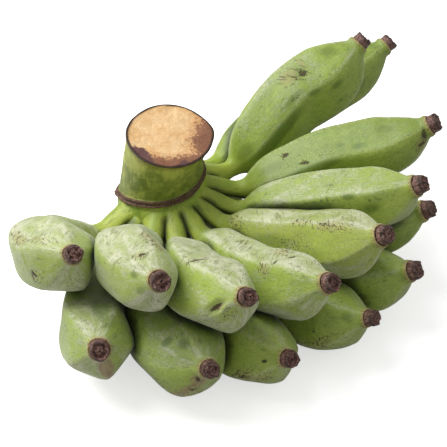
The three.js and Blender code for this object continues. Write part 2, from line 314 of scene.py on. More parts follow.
class Finger:
    """One banana: its midline, its section, and how it gives way to what it presses against."""

    def __init__(self, row, number, shape):
        self.name, self.row = f"{row}_{number}", row
        self.seed = number + ROW_SEED[row]
        self.neck, self.girth, self.edge = shape["neck"], shape["girth"], shape["edge"]
        self.bloom, self.deep, self.ripe = shape["bloom"], shape["deep"], shape["ripe"]
        self.sides = shape.get("sides", BARE_SIDES)
        self.stub = shape.get("stub", 1.0)
        chance = np.random.default_rng(self.seed)
        turns = 2 * math.pi * np.arange(FACES) / FACES + math.radians(shape["roll"])
        self.facings = turns + chance.uniform(-FLAT_WANDER, FLAT_WANDER, FACES)
        self.offsets = chance.uniform(-FLAT_UNEVEN, FLAT_UNEVEN, FACES)
        self.phases = chance.uniform(0, 2 * math.pi, len(LUMP_WAVES))
        following = np.append(self.facings[1:], self.facings[0] + 2 * math.pi)
        self.ridges = (self.facings + following) / 2

        start = crown_place(shape["root"], ROOT_REACH, ROOT_BELOW_SCAR[row])
        end = compass(*shape["tip"]) + HEART
        along = unit(end - start)
        leave = unit(compass(shape["root"], 1, -STEM_DROOP) + along * [1, 1, 0])
        side = unit(np.cross(UP, along))
        sideways, down = shape["bow"]
        hook = shape.get("hook", HOOK)
        bend = start + leave * STEM_LENGTH + side * sideways / 2
        belly = mix(bend, end, 0.5) + side * sideways * BULGE_SHARE - UP * down
        shoulder = mix(belly, end, SHOULDER_SHARE) - UP * hook
        self.path = catmull_rom([start, bend, belly, shoulder, end])
        paces = np.linalg.norm(np.diff(self.path, axis=0), axis=1)
        walked = np.concatenate([[0], np.cumsum(paces)])
        self.length = walked[-1]
        self.walked = walked / self.length
        self.headings = unit(np.gradient(self.path, walked, axis=0))
        self.station_shares = np.linspace(0, 1, STATIONS)
        self.stations = self.frame(self.station_shares)

    def frame(self, share):
        """Place, heading, and the two directions across the finger, at a share of its length."""
        def along(values):
            return np.stack([np.interp(share, self.walked, values[:, i]) for i in range(3)], axis=-1)
        heading = unit(along(self.headings))
        beyond = np.asarray(share - np.clip(share, 0, 1))[..., None] * self.length
        place = along(self.path) + heading * beyond
        across = unit(np.cross(UP, heading))
        return place, heading, across, np.cross(heading, across)

    def free(self, share, angle):
        """Distance from the midline to the free skin."""
        body = (share - self.neck) / (1 - self.neck)
        swell, narrow = (
            np.clip(np.interp(body, BODY_PROFILE[:, 0], BODY_PROFILE[:, i]), 0, 1) for i in (1, 2)
        )
        stem = mix(ROOT_RADIUS, STEM_RADIUS, smooth(share, *STEM_NARROWS))
        half = mix(mix(stem, self.girth / 2, swell), TIP_RADIUS * self.stub, narrow)
        flat = swell * (1 - TIP_ROUNDNESS * narrow)
        sharp = mix(STEM_SHARPNESS, self.edge, flat)
        gauge = sum(
            (np.maximum(0, np.cos(angle - facing)) / (1 + offset * flat)) ** sharp
            for facing, offset in zip(self.facings, self.offsets)
        )
        lumps = sum(
            np.sin(around * angle + 2 * math.pi * along * share + phase)
            for (around, along), phase in zip(LUMP_WAVES, self.phases)
        )
        return half * gauge ** (-1 / sharp) + LUMP * lumps * swell * (1 - narrow)

    def skyward(self, share, angle):
        """How far the flat side at a place faces up: 1 for straight up."""
        pulls = [np.maximum(0, np.cos(angle - facing)) ** FLAT_PULL for facing in self.facings]
        flat_up = sum(pull * np.sin(facing) for pull, facing in zip(pulls, self.facings)) / sum(pulls)
        return flat_up * self.frame(share)[3][..., 2]

    def outside(self, points):
        """How far points stand outside the free skin; negative inside it."""
        place, heading, across, above = self.stations
        best = np.argmin(dot(place, place) - 2 * points @ place.T, axis=1)
        near = points - place[best]
        ahead = dot(near, heading[best])
        step = self.length / (STATIONS - 1)
        share = self.station_shares[best] + np.clip(ahead / step, -0.5, 0.5) / (STATIONS - 1)
        past = np.maximum(np.abs(ahead) - step / 2, 0)
        off = near - heading[best] * ahead[:, None]
        angle = np.arctan2(dot(off, above[best]), dot(off, across[best]))
        beside = np.linalg.norm(off, axis=-1) - self.free(np.clip(share, 0, 1), angle)
        return np.where(past > step / 2, np.maximum(beside, past), beside)

    def point(self, share, angle, radius):
        """The place at a share of the length, an angle round it and a distance from the midline."""
        place, _, across, above = self.frame(share)
        out = across * np.cos(angle)[..., None] + above * np.sin(angle)[..., None]
        return place + out * radius[..., None]

    def neighbours(self, others):
        """The fingers that come near enough to press against this one."""
        def close(other):
            apart = self.stations[0][:, None, :] - other.stations[0][None, :, :]
            nearest = math.sqrt(dot(apart, apart).min())
            return nearest < (self.girth + other.girth) * NEIGHBOUR_REACH
        return [other for other in others if other is not self and close(other)]

    def pressed(self, others):
        """On a coarse net: how far the free skin gives way to neighbours and the table, and how
        close it comes to a neighbour."""
        share, angle = np.meshgrid(
            np.linspace(0, 1, COARSE_RINGS),
            np.arange(COARSE_AROUND) * 2 * math.pi / COARSE_AROUND,
            indexing="ij",
        )
        share, angle = share.ravel(), angle.ravel()
        reach = self.free(share, angle)
        gap = mix(ROOT_GAP, GAP, smooth(share, *GAP_OPENS))
        neighbours = self.neighbours(others)

        def clear(index, radius):
            points = self.point(share[index], angle[index], radius)
            fine = points[:, 2] >= 0
            for other in neighbours:
                fine &= other.outside(points) - gap[index] >= radius - reach[index]
            return fine

        everywhere = np.arange(len(share))
        low, high = np.full(len(share), THINNEST), reach.copy()
        hit = everywhere[~clear(everywhere, reach)]
        for _ in range(PRESSING_STEPS):
            middle = (low[hit] + high[hit]) / 2
            fine = clear(hit, middle)
            low[hit[fine]] = middle[fine]
            high[hit[~fine]] = middle[~fine]
        give = np.zeros(len(share))
        give[hit] = reach[hit] - low[hit]
        skin = self.point(share, angle, reach - give)
        clearance = np.min([other.outside(skin) for other in neighbours], axis=0)
        # Closeness to a neighbour, from which crease shade is painted and wax is rubbed off.
        near = TOUCH_REACH[self.row]
        touch_wear_and_shade = np.clip((near - clearance) / (near - GAP), 0, 1)
        return [values.reshape(COARSE_RINGS, COARSE_AROUND) for values in (give, touch_wear_and_shade)]


def refined(net, share, angle):
    """A coarse net of values over share and angle, softened and read at finer places."""
    for _ in range(2):
        net = (np.roll(net, 1, axis=1) + 2 * net + np.roll(net, -1, axis=1)) / 4
        padded = np.vstack([net[:1], net, net[-1:]])
        net = (padded[:-2] + 2 * padded[1:-1] + padded[2:]) / 4
    row = np.clip(share, 0, 1) * (len(net) - 1)
    column = angle / (2 * math.pi) * net.shape[1]
    top, left = np.minimum(row.astype(int), len(net) - 2), np.floor(column).astype(int)
    down, right = row - top, column - left
    left, other = left % net.shape[1], (left + 1) % net.shape[1]
    upper = mix(net[top, left], net[top, other], right)
    lower = mix(net[top + 1, left], net[top + 1, other], right)
    return mix(upper, lower, down)


def facing(rings):
    """The outward direction of a skin at each point of its rings."""
    along = np.gradient(rings, axis=0)
    around = np.roll(rings, -1, axis=1) - np.roll(rings, 1, axis=1)
    return unit(np.cross(around, along))


# ---- Meshes ----


def mesh_of_rings(name, rings, attributes, materials, material_of_ring=None):
    """A closed mesh over rings of points, with a fan over each end, as one piece of the hand."""
    count, around = rings.shape[:2]
    ends = [rings[0].mean(axis=0), rings[-1].mean(axis=0)]
    points = np.vstack([rings.reshape(-1, 3), *ends]) * MM
    ring, spoke = np.meshgrid(np.arange(count - 1), np.arange(around), indexing="ij")
    following = (spoke + 1) % around
    quads = np.stack([
        ring * around + spoke, ring * around + following,
        (ring + 1) * around + following, (ring + 1) * around + spoke,
    ], axis=-1).reshape(-1, 4).tolist()
    spokes = np.arange(around)
    after = (spokes + 1) % around
    first, last = count * around, count * around + 1
    final = (count - 1) * around
    fans = [(first, int(b), int(a)) for a, b in zip(spokes, after)]
    fans += [(last, int(final + a), int(final + b)) for a, b in zip(spokes, after)]
    mesh = bpy.data.meshes.new(name)
    mesh.from_pydata(points.tolist(), [], quads + fans)
    mesh.polygons.foreach_set("use_smooth", [True] * len(mesh.polygons))
    for material in materials:
        mesh.materials.append(material)
    if material_of_ring is not None:
        of_quads = np.repeat(material_of_ring, around)
        of_fans = np.repeat([material_of_ring[0], material_of_ring[-1]], around)
        of_all = np.concatenate([of_quads, of_fans]).astype(np.int32)
        mesh.polygons.foreach_set("material_index", of_all)
    for label, values in attributes.items():
        flat = values.reshape(count * around, -1)
        flat = np.vstack([flat, flat[:around].mean(axis=0), flat[-around:].mean(axis=0)])
        vector = flat.shape[1] == 3
        layer = mesh.attributes.new(label, "FLOAT_VECTOR" if vector else "FLOAT", "POINT")
        layer.data.foreach_set("vector" if vector else "value", flat.astype(np.float32).ravel())
    mesh.update()
    piece = bpy.data.objects.new(name, mesh)
    bpy.context.scene.collection.objects.link(piece)
    return piece


def join_hand(piece, node):
    """Makes a piece part of the hand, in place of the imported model's node."""
    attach(piece, "root")
    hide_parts(node)


# ---- Node building ----


def tint(code):
    """Linear colour of a hex code."""
    parts = [int(code[i:i + 2], 16) / 255 for i in (1, 3, 5)]
    return (*[p / 12.92 if p <= 0.04045 else ((p + 0.055) / 1.055) ** 2.4 for p in parts], 1.0)


class Board:
    """A node tree, filled by calls that each add one node and give back its output."""

    def __init__(self, tree):
        self.tree = tree

    def node(self, kind, inputs=(), **settings):
        node = self.tree.nodes.new("ShaderNode" + kind)
        for key, value in settings.items():
            setattr(node, key, value)
        for key, value in dict(inputs).items():
            if isinstance(value, bpy.types.NodeSocket):
                self.tree.links.new(value, node.inputs[key])
            else:
                node.inputs[key].default_value = value
        return node

    def attribute(self, name, output="Fac"):
        return self.node("Attribute", attribute_name=name).outputs[output]

    def math(self, operation, a, b):
        return self.node("Math", {0: a, 1: b}, operation=operation).outputs[0]

    def times(self, a, b):
        return self.math("MULTIPLY", a, b)

    def plus(self, a, b):
        return self.math("ADD", a, b)

    def total(self, first, *others):
        for value in others:
            first = self.plus(first, value)
        return first

    def swing(self, share, width):
        """A share from 0 to 1 made to swing about zero, over a width."""
        return self.times(self.math("SUBTRACT", share, 0.5), width)

    def between(self, value, low, high):
        """0 at low and beyond it, 1 at high and beyond it, and a smooth change between them."""
        ramp = {"Value": value, "From Min": low, "From Max": high}
        return self.node("MapRange", ramp, interpolation_type="SMOOTHSTEP").outputs[0]

    def ragged(self, mask, noise, width, low, high):
        """A soft mask with its edge torn by a noise, and drawn tight between low and high."""
        return self.between(self.plus(mask, self.swing(noise, width)), low, high)

    def colour(self, amount, a, b):
        return self.node("Mix", {0: amount, 6: a, 7: b}, data_type="RGBA").outputs[2]

    def lay(self, under, mask, strength, code):
        """A colour laid over another through a mask, at a strength."""
        return self.colour(self.times(mask, strength), under, tint(code))

    def stretch(self, vector, scale):
        return self.node("Mapping", {"Vector": vector, "Scale": scale}).outputs[0]

    def slant(self, vector, angle):
        turned = {"Vector": vector, "Angle": angle}
        return self.node("VectorRotate", turned, rotation_type="Y_AXIS").outputs[0]

    def noise(self, vector, scale, detail=3.0, roughness=0.55, distortion=0.0):
        inputs = {
            "Vector": vector, "Scale": scale, "Detail": detail,
            "Roughness": roughness, "Distortion": distortion,
        }
        return self.node("TexNoise", inputs).outputs[0]

    def effect(self, tree, vector, **numbers):
        return self.node("Group", {"Vector": vector, **numbers}, node_tree=tree).outputs[0]


def shared_effect(name, numbers, output):
    """A node group with a vector input, named number inputs, and one value output."""
    tree = bpy.data.node_groups.new(name, "ShaderNodeTree")
    tree.interface.new_socket("Vector", in_out="INPUT", socket_type="NodeSocketVector")
    for label, value in numbers.items():
        socket = tree.interface.new_socket(label, in_out="INPUT", socket_type="NodeSocketFloat")
        socket.default_value = value
    tree.interface.new_socket(output, in_out="OUTPUT", socket_type="NodeSocketFloat")
    board = Board(tree)
    return board, tree.nodes.new("NodeGroupInput").outputs, tree.nodes.new("NodeGroupOutput").inputs[0]


def fibres_effect():
    """Fine streaks along the grain: Across and Along are streaks per millimetre."""
    board, given, result = shared_effect("Fibres", {"Across": 0.9, "Along": 0.05}, "Streak")
    scale = board.node("CombineXYZ", {"X": given["Across"], "Y": given["Across"], "Z": given["Along"]})
    drawn = board.node("VectorMath", {0: given["Vector"], 1: scale.outputs[0]}, operation="MULTIPLY")
    fine = board.noise(drawn.outputs[0], 1.0, detail=3.0, roughness=0.6)
    board.tree.links.new(board.between(fine, 0.3, 0.7), result)
    return board.tree


def specks_effect():
    """Small dark dots in loose clusters: Spacing in millimetres, Size as a share of it."""
    numbers = {"Spacing": 2.5, "Size": 0.2, "Cover": 0.5}
    board, given, result = shared_effect("Specks", numbers, "Dots")
    scale = board.math("DIVIDE", 1.0, given["Spacing"])
    bent = board.noise(given["Vector"], 0.9, detail=2.0)
    vector = board.node("VectorMath", {0: given["Vector"], 1: bent}, operation="ADD").outputs[0]
    cells = board.node("TexVoronoi", {"Vector": vector, "Scale": scale, "Randomness": 1.0})
    dots = board.between(cells.outputs["Distance"], given["Size"], 0.0)
    where = board.noise(given["Vector"], 0.07, detail=3.0, roughness=0.6)
    floor = board.math("SUBTRACT", 1.0, given["Cover"])
    kept = board.between(where, floor, board.plus(floor, 0.08))
    board.tree.links.new(board.times(dots, kept), result)
    return board.tree


def patches_effect():
    """Soft blotches: Size in millimetres, Cover from none to all, Soft the width of their edge."""
    numbers = {"Size": 14.0, "Cover": 0.5, "Soft": 0.15}
    board, given, result = shared_effect("Patches", numbers, "Patch")
    scale = board.math("DIVIDE", 1.0, given["Size"])
    cloud = board.noise(given["Vector"], scale, detail=5.0, roughness=0.6, distortion=0.4)
    edge = board.math("SUBTRACT", 1.0, given["Cover"])
    half = board.times(given["Soft"], 0.5)
    patch = board.between(cloud, board.math("SUBTRACT", edge, half), board.plus(edge, half))
    board.tree.links.new(patch, result)
    return board.tree


FIBRES, SPECKS, PATCHES = fibres_effect(), specks_effect(), patches_effect()
MARK_KINDS = ("scar", "scuff", "scab", "bruise_and_shade")


def finish(name, specular=0.5):
    """A new material's board, with its shader."""
    material = bpy.data.materials.new(name)
    material.use_nodes = True
    board = Board(material.node_tree)
    shader = next(n for n in material.node_tree.nodes if n.type == "BSDF_PRINCIPLED")
    shader.inputs["Specular IOR Level"].default_value = specular
    return material, board, shader


def feed(board, shader, colour, roughness, height, depth):
    """Joins colour, roughness and a height in millimetres to a shader."""
    links = board.tree.links
    links.new(colour, shader.inputs["Base Color"])
    links.new(roughness, shader.inputs["Roughness"])
    bump = board.node("Bump", {"Height": height, "Distance": depth * MM, "Strength": 1.0})
    links.new(bump.outputs[0], shader.inputs["Normal"])


def peel_ground(board, tone, weave):
    """Green flesh of the peel, lighter and darker in clouds, and turning yellow where ripe."""
    depth = board.total(
        tone["deep"], board.swing(weave["broad"], 0.5), board.swing(weave["cloud"], 0.25),
        board.swing(weave["mottle"], 0.3))
    colour = board.colour(board.between(depth, 0.0, 1.0), tint("#a3b750"), tint("#65822c"))
    turned = board.times(tone["ripe"], board.plus(board.times(weave["broad"], 0.7), 0.3))
    colour = board.colour(turned, colour, tint("#b9ba58"))
    colour = board.lay(colour, board.between(weave["crumbs"], 0.5, 0.7), 0.35, "#bccb7c")
    colour = board.lay(colour, board.between(weave["crumbs"], 0.5, 0.32), 0.4, "#56702a")
    return board.lay(colour, weave["fine"], 0.12, "#5f7a30")


def peel_wax(board, tone, weave):
    """How much wax is left: worn through in clouds and streaks, and none on the stem."""
    worn = board.total(
        board.swing(weave["broad"], 0.3), board.swing(weave["cloud"], 0.25),
        board.swing(weave["mottle"], 0.2), board.swing(weave["crumbs"], 0.7),
        board.swing(weave["fine"], 0.35))
    wax = board.between(board.plus(tone["bloom"], worn), 0.15, 1.0)
    return board.times(wax, board.math("SUBTRACT", 1.0, tone["stemward"]))


def peel_stem(board, drawn, fibre):
    """Yellow-green, streaked skin of the stem."""
    patch = board.effect(PATCHES, drawn, Size=12.0, Cover=0.5, Soft=0.5)
    stem = board.colour(patch, tint("#bcc550"), tint("#90a938"))
    return board.lay(stem, fibre, 0.35, "#6f8a2c")


def peel_flecks(board, colour, grain):
    """Fine dark dots, soft dots and short dashes, strewn over the whole peel."""
    dots = board.effect(SPECKS, grain, Spacing=3.0, Size=0.26, Cover=0.48)
    colour = board.lay(colour, dots, 0.8, "#3b4620")
    soft_dots = board.effect(SPECKS, grain, Spacing=7.0, Size=0.32, Cover=0.52)
    colour = board.lay(colour, soft_dots, 0.5, "#4c642a")
    dashes = board.noise(board.stretch(grain, (0.9, 0.9, 0.2)), 1.0, detail=3.0)
    dashed = board.effect(PATCHES, grain, Size=20.0, Cover=0.5, Soft=0.15)
    return board.lay(colour, board.times(board.between(dashes, 0.62, 0.7), dashed), 0.6, "#4d5c2a")


def peel_strokes(board, tone, grain, slanted):
    """Slanting strokes scratched into thick wax."""
    strokes = board.noise(board.stretch(slanted, (0.8, 0.8, 0.09)), 1.0, detail=3.0, roughness=0.6)
    some = board.effect(PATCHES, grain, Size=17.0, Cover=0.52, Soft=0.2)
    stroked = board.times(board.between(strokes, 0.54, 0.61), some)
    return board.times(stroked, board.between(tone["bloom"], 0.35, 0.7))


def peel_scratches(board, tone, slanted, crumbs):
    """Long scratches over a scuff and a little way round it."""
    lines = board.noise(board.stretch(slanted, (0.9, 0.9, 0.04)), 1.0, detail=1.5, roughness=0.5)
    around_scuff = board.ragged(tone["scuff"], crumbs, 0.5, 0.1, 0.4)
    return board.times(board.between(lines, 0.55, 0.62), around_scuff)


def peel_crust(board, tone, colour, weave):
    """Pale dry crust of the scabs."""
    dry = board.total(tone["scab"], board.swing(weave["crumbs"], 1.6), board.swing(weave["cloud"], 0.3))
    crust = board.colour(weave["mottle"], tint("#a8926c"), tint("#85674a"))
    return board.colour(board.times(board.between(dry, 0.3, 0.9), 0.8), colour, crust)


def peel_finish():
    """Green peel under worn wax, with its ridges, marks and dried tip."""
    material, board, shader = finish("green_peel", specular=0.4)
    shader.inputs["Sheen Weight"].default_value = 0.35
    shader.inputs["Sheen Roughness"].default_value = 0.35
    grain = board.attribute("grain", "Vector")
    tone = {key: board.attribute(key) for key in (
        "bloom", "deep", "ripe", "touch_wear_and_shade", "stemward", "tipward", "crest", *MARK_KINDS)}
    drawn = board.stretch(grain, (1, 1, 0.65))
    slanted = board.slant(grain, 0.9)
    fibre = board.effect(FIBRES, grain, Across=0.8, Along=0.06)
    crumbs = board.noise(grain, 0.8, detail=5.0, roughness=0.7)
    cloud = board.effect(PATCHES, drawn, Size=9.0, Cover=0.5, Soft=0.5)
    mottle = board.effect(PATCHES, drawn, Size=3.0, Cover=0.5, Soft=0.4)
    weave = {
        "broad": board.effect(PATCHES, drawn, Size=24.0, Cover=0.5, Soft=0.6),
        "cloud": cloud, "mottle": mottle, "crumbs": crumbs,
        "fine": board.effect(FIBRES, grain, Across=2.0, Along=0.2),
    }

    colour = peel_ground(board, tone, weave)
    wax = peel_wax(board, tone, weave)
    pale = board.colour(board.ragged(cloud, crumbs, 0.8, 0.1, 0.9), tint("#a9af88"), tint("#cbccb0"))
    # Pale wax; on top it is partly painted light from above, and on the under side partly painted bounce
    # light.
    colour = board.colour(board.times(wax, 0.9), colour, pale)
    colour = board.colour(tone["stemward"], colour, peel_stem(board, drawn, fibre))
    ridge = board.times(tone["crest"], board.between(crumbs, 0.35, 0.6))
    colour = board.lay(colour, ridge, 0.2, "#dfe2bd")
    colour = peel_flecks(board, colour, grain)

    stroked = peel_strokes(board, tone, grain, slanted)
    scratched = peel_scratches(board, tone, slanted, crumbs)
    scarred = board.ragged(tone["scar"], crumbs, 2.6, 0.4, 0.6)
    colour = board.lay(colour, stroked, 0.7, "#7a7a4e")
    # Deep green: bruised skin, and painted shade in the long bands of that kind of mark.
    colour = board.lay(colour, board.ragged(tone["bruise_and_shade"], crumbs, 1.4, 0.2, 1.0), 0.7, "#4e6620")
    colour = board.lay(colour, board.ragged(tone["scuff"], crumbs, 1.2, 0.35, 0.9), 0.5, "#9e9459")
    colour = board.lay(colour, scratched, 0.8, "#564824")
    colour = peel_crust(board, tone, colour, weave)
    colour = board.lay(colour, scarred, 0.92, "#3d3014")

    drying = board.total(tone["tipward"], board.swing(crumbs, 1.6), board.swing(mottle, 0.4))
    collar = board.between(drying, 0.45, 0.9)
    dried = board.colour(board.between(mottle, 0.3, 0.8), tint("#b79e72"), tint("#8b7048"))
    colour = board.colour(board.times(collar, 0.7), colour, dried)
    # Painted shade in the creases between fingers, darkest where they press together.
    colour = board.lay(colour, board.ragged(tone["touch_wear_and_shade"], cloud, 0.3, 0.12, 1.0), 0.82, "#1c260f")

    dull = board.total(
        0.42, board.times(wax, 0.2), board.times(scarred, 0.25), board.times(collar, 0.15))
    height = board.total(
        board.times(fibre, 0.3), board.times(crumbs, 0.8), board.times(wax, 0.4),
        board.times(scratched, -0.5), board.times(stroked, -0.5), board.times(scarred, 0.8))
    feed(board, shader, colour, dull, height, 0.14)
    return material


def flower_end_finish():
    """Dry, woody brown, with rings of dark creases on its face."""
    material, board, shader = finish("dried_flower_end", specular=0.5)
    grain = board.attribute("grain", "Vector")
    spread, face = board.attribute("spread"), board.attribute("face")
    fibre = board.effect(FIBRES, grain, Across=1.4, Along=0.2)
    crumbs = board.noise(grain, 0.8, detail=6.0, roughness=0.7)
    patch = board.effect(PATCHES, grain, Size=3.0, Cover=0.5, Soft=0.3)
    colour = board.colour(board.between(crumbs, 0.4, 0.62), tint("#3c2422"), tint("#8d6659"))
    colour = board.lay(colour, patch, 0.5, "#6a3c35")
    colour = board.lay(colour, board.between(fibre, 0.5, 0.9), 0.5, "#b08f7d")
    glints = board.between(board.noise(grain, 1.6, detail=2.0), 0.64, 0.7)
    colour = board.lay(colour, glints, 0.6, "#d6bdb2")
    wavy = board.total(spread, board.swing(crumbs, 1.1), board.swing(patch, 0.2))
    groove = board.times(board.between(wavy, 0.42, 0.58), board.between(wavy, 0.76, 0.6))
    groove = board.times(groove, board.between(board.noise(grain, 0.22, detail=1.0), 0.4, 0.6))
    outline = board.between(wavy, 0.84, 0.95)
    middle = board.between(wavy, 0.16, 0.04)
    dark = board.times(board.total(groove, outline, middle), face)
    colour = board.lay(colour, board.between(dark, 0.0, 1.0), 0.75, "#241513")
    height = board.plus(crumbs, board.times(fibre, 0.5))
    feed(board, shader, colour, board.plus(0.25, board.times(crumbs, 0.4)), height, 0.5)
    return material


def stalk_finish():
    """Streaked green skin, browner towards the cut, with the scar's bark round it, and painted shade
    lower down, on one side and in the grooves between the stems.
    """
    material, board, shader = finish("stalk_skin", specular=0.4)
    grain = board.attribute("grain", "Vector")
    scar, low, rim, notch, low_and_side_shade, crevice_shade, under_rim = (
        board.attribute(key)
        for key in ("scar", "low", "rim", "notch", "low_and_side_shade", "crevice_shade", "under_rim")
    )
    fibre = board.effect(FIBRES, grain, Across=0.6, Along=0.05)
    broad = board.effect(PATCHES, board.stretch(grain, (1, 1, 0.6)), Size=24.0, Cover=0.5, Soft=0.5)
    cloud = board.effect(PATCHES, grain, Size=7.0, Cover=0.5, Soft=0.4)
    crumbs = board.noise(grain, 0.8, detail=5.0, roughness=0.7)
    # Painted shade: darker lower down and on the side away from the window.
    depth = board.total(
        low_and_side_shade, board.swing(broad, 0.7), board.swing(cloud, 0.5), board.swing(fibre, 0.3))
    colour = board.colour(board.between(depth, 0.0, 1.0), tint("#bcc060"), tint("#5f6f26"))
    colour = board.colour(low, colour, board.colour(cloud, tint("#a4b540"), tint("#83a038")))
    colour = board.lay(colour, fibre, 0.2, "#b9c06c")
    # Painted shade in the grooves between the stems.
    colour = board.lay(colour, crevice_shade, 0.6, "#35430f")
    dots = board.effect(SPECKS, grain, Spacing=3.5, Size=0.22, Cover=0.52)
    colour = board.lay(colour, dots, 0.7, "#4a3a22")
    burnt = board.ragged(under_rim, crumbs, 0.9, 0.3, 0.9)
    colour = board.lay(colour, burnt, 0.6, "#8a7a3c")
    scarred = board.ragged(scar, crumbs, 0.5, 0.45, 0.62)
    bark = board.colour(board.between(crumbs, 0.35, 0.65), tint("#3d2b22"), tint("#7c5f4c"))
    colour = board.colour(scarred, colour, bark)
    dark = board.ragged(board.plus(rim, notch), crumbs, 0.6, 0.3, 0.7)
    colour = board.lay(colour, dark, 0.9, "#35241d")
    height = board.plus(board.times(fibre, 0.5), board.times(crumbs, board.plus(0.4, scarred)))
    dull = board.plus(0.45, board.times(scarred, 0.35))
    feed(board, shader, colour, dull, height, 0.25)
    return material


def flesh_finish():
    """Pale cut flesh, with rusty and purple stains spreading in from its dark rim."""
    material, board, shader = finish("cut_flesh", specular=0.3)
    grain = board.attribute("grain", "Vector")
    purpled, browned, rim = (board.attribute(key) for key in ("purpled", "browned", "rim"))
    crumbs = board.noise(grain, 0.45, detail=6.0, roughness=0.7)
    fine = board.noise(grain, 1.3, detail=4.0, roughness=0.7)
    patch = board.effect(PATCHES, grain, Size=9.0, Cover=0.5, Soft=0.4)
    colour = board.colour(patch, tint("#eccb9a"), tint("#dbb078"))
    colour = board.lay(colour, board.between(fine, 0.48, 0.68), 0.55, "#b88a58")
    dots = board.effect(SPECKS, grain, Spacing=2.2, Size=0.28, Cover=0.6)
    colour = board.lay(colour, dots, 0.6, "#99673c")
    halo = board.ragged(browned, crumbs, 1.1, 0.15, 0.5)
    colour = board.lay(colour, halo, 0.6, "#c08a58")
    rust = board.colour(board.between(fine, 0.4, 0.62), tint("#63392c"), tint("#a5755a"))
    rust = board.lay(rust, board.between(browned, 0.5, 1.0), 0.5, "#5d3329")
    rusted = board.ragged(browned, crumbs, 1.3, 0.42, 0.62)
    colour = board.colour(board.times(rusted, 0.9), colour, rust)
    purple = board.colour(fine, tint("#4a3033"), tint("#7a564f"))
    colour = board.colour(board.ragged(purpled, crumbs, 0.9, 0.45, 0.6), colour, purple)
    colour = board.colour(rim, colour, tint("#2e1e18"))
    height = board.plus(crumbs, board.times(fine, 0.6))
    feed(board, shader, colour, board.plus(0.6, board.times(fine, 0.2)), height, 0.4)
    return material


PEEL, FLOWER_END, STALK, FLESH = peel_finish(), flower_end_finish(), stalk_finish(), flesh_finish()

# ---- The fingers ----

FINGER_RINGS = 170
FINGER_AROUND = 100
RING_CROWDING = 0.25  # how much closer together the rings lie towards the tip
GRAIN_APART = 300  # millimetres between two fingers' places in the peel's pattern
CREST_WIDTH = 1.2
CREST_RISE = 0.25
RIM_WIDTH = 3.5  # how far from a ridge its wax stays whole
FILLET = 8.0  # over what distance a stem flows into the crown
CROWN_CLEAR = (0.02, 0.08)  # shares of the length over which a stem comes clear of the crown
CROWN_SWELL_ENDS = (0.2, 0.4)  # shares of the length over which the flow into the crown dies out
BELLY_ONSET = 0.12  # share of the length over which the stem takes on the belly's surface
TIP_CALM = 6.0  # millimetres over which that surface dies out again towards the tip
PEEL_UNEVEN = ((0.35, 15, 0), (0.12, 5, 1))  # height, length and seed of each layer
# Swell and groove round the tip: rise, distance from the end, half width.
TIP_COLLAR = ((0.35, 1.0, 1.1), (-0.35, 4.5, 2.5))
TRUE_FACING = 0.25  # how much the skin's own facing counts against that of its flat side
# Facings between which the wax thickens, on top and on the under side, and the height,
# length and seed of the noise that wavers their edges. The paler top is partly wax and partly
# painted light from above; the paler under side is partly wax and partly painted bounce light.
SKY_SIDE = (0.45, 0.8)
SKY_EDGE = ((0.15, 9, 2),)
UNDER_SIDE = (-0.3, -0.55)
UNDER_EDGE = ((0.15, 12, 7),)
TOP_WAX_AND_LIGHT = 1.25  # wax on top, with painted light from above, as a share of the finger's bloom
TOUCH_WEAR = 0.8  # how much of it is rubbed off against a neighbour
UNDER_WAX_AND_BOUNCE, UNDER_SHARE = 0.2, 0.4  # wax on the under side, with painted bounce light from the floor: alike on all, and by the finger's bloom
RIDGE_WAX = 0.12  # more of it along the ridges
DEEP_BELOW, DEEP_ON_TOP = 0.6, 1.1  # how deep its green is on the under side and on top, as shares of the finger's own: painted fill light makes the flanks and under side lighter
STEM_FADES = (-0.02, 0.16)  # from where to where past the neck the stem's colour fades
TIP_DRY = 2.0  # how far the dried end reaches, in millimetres
MARK_EDGE = (1.6, 0.3)  # where a mark starts and where it is full, as shares of its half size
LIP_ROUNDNESS = 0.3  # how far the lip is round rather than like the tip's own section
# The peel's end, curling in round the flower end: distance past the end, radius.
LIP = ((0.5, 6.9), (0.8, 6.5), (0.7, 6.1), (0.2, 5.7), (-1.5, 5.4))
